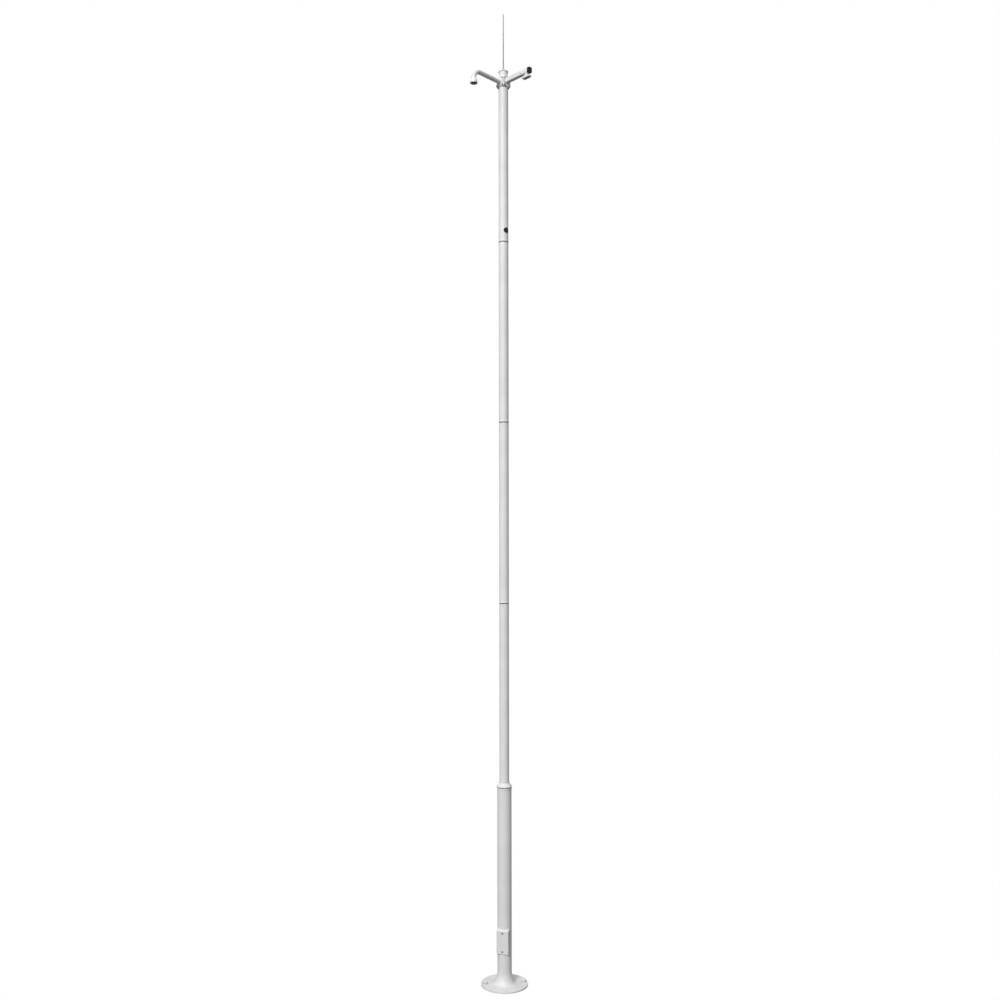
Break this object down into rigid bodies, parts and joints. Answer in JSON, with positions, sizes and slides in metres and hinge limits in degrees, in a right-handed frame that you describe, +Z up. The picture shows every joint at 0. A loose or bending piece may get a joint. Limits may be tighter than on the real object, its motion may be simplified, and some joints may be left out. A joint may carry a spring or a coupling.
{
  "type": "camera mast",
  "caption": "Tall white steel mast on a bolted cast foot, with a hand-hole, a gooseneck dome camera, a tilting camera with a lamp, and a lightning rod.",
  "frame": {"origin": "centre of the foot flange's flat underside, on the mast's axis", "axes": "+Z up along the mast; seen along +Y the dome arm points left and forward, the camera arm right and forward"},
  "size_m": [0.6766, 0.6241, 10.85],
  "materials": {
    "mast_paint": "satin light grey powder coat",
    "cast_paint": "satin paint over a fine cast skin",
    "camera_metal": "white powder coat",
    "camera_shell": "smooth white",
    "zinc_steel": "dull zinc",
    "bolt_steel": "turned",
    "black_rubber": "matt",
    "black_plastic": "fine grain",
    "smoked_dome": "smoked, polished",
    "front_glass": "dark, polished",
    "lamp_panel": "dark tinted panel"
  },
  "bodies": {
    "mast": {"base_casting": "cast_paint", "lower_pole": "mast_paint", "handhole_frame": "mast_paint", "handhole_cover": "mast_paint", "clamp_band": "mast_paint", "reducer_collar": "cast_paint", "pole_section_1": "mast_paint", "pole_section_2": "mast_paint", "pole_section_3": "mast_paint", "pole_section_4": "mast_paint", "joint_sleeve_1": "mast_paint", "joint_sleeve_2": "mast_paint", "joint_sleeve_3": "mast_paint", "outlet_rim": "mast_paint", "outlet_grommet": "black_rubber", "head_block": "mast_paint", "cap_tube": "mast_paint", "cap_lid": "mast_paint", "rod_socket": "zinc_steel", "lightning_rod": "zinc_steel", "dome_arm_flange": "mast_paint", "gooseneck_arm": "mast_paint", "dome_bell": "camera_shell", "dome_ring": "camera_shell", "dome_window": "smoked_dome", "camera_arm_flange": "mast_paint", "camera_arm": "mast_paint", "arm_end_plate": "mast_paint", "tilt_bolt": "bolt_steel"},
    "camera": {"camera_knuckle": "camera_metal", "camera_body": "camera_metal", "camera_front_frame": "camera_shell", "camera_hood": "black_plastic", "camera_glass": "front_glass", "lamp_bracket": "camera_metal", "lamp_body": "camera_metal", "lamp_window": "lamp_panel"}
  },
  "joints": [
    {"name": "camera_tilt", "type": "hinge", "parent": "mast", "child": "camera", "pos_m": [0.20223, -0.20223, 10.071], "axis": [-0.7071, -0.7071, 0], "range_deg": [-45, 15]}
  ]
}
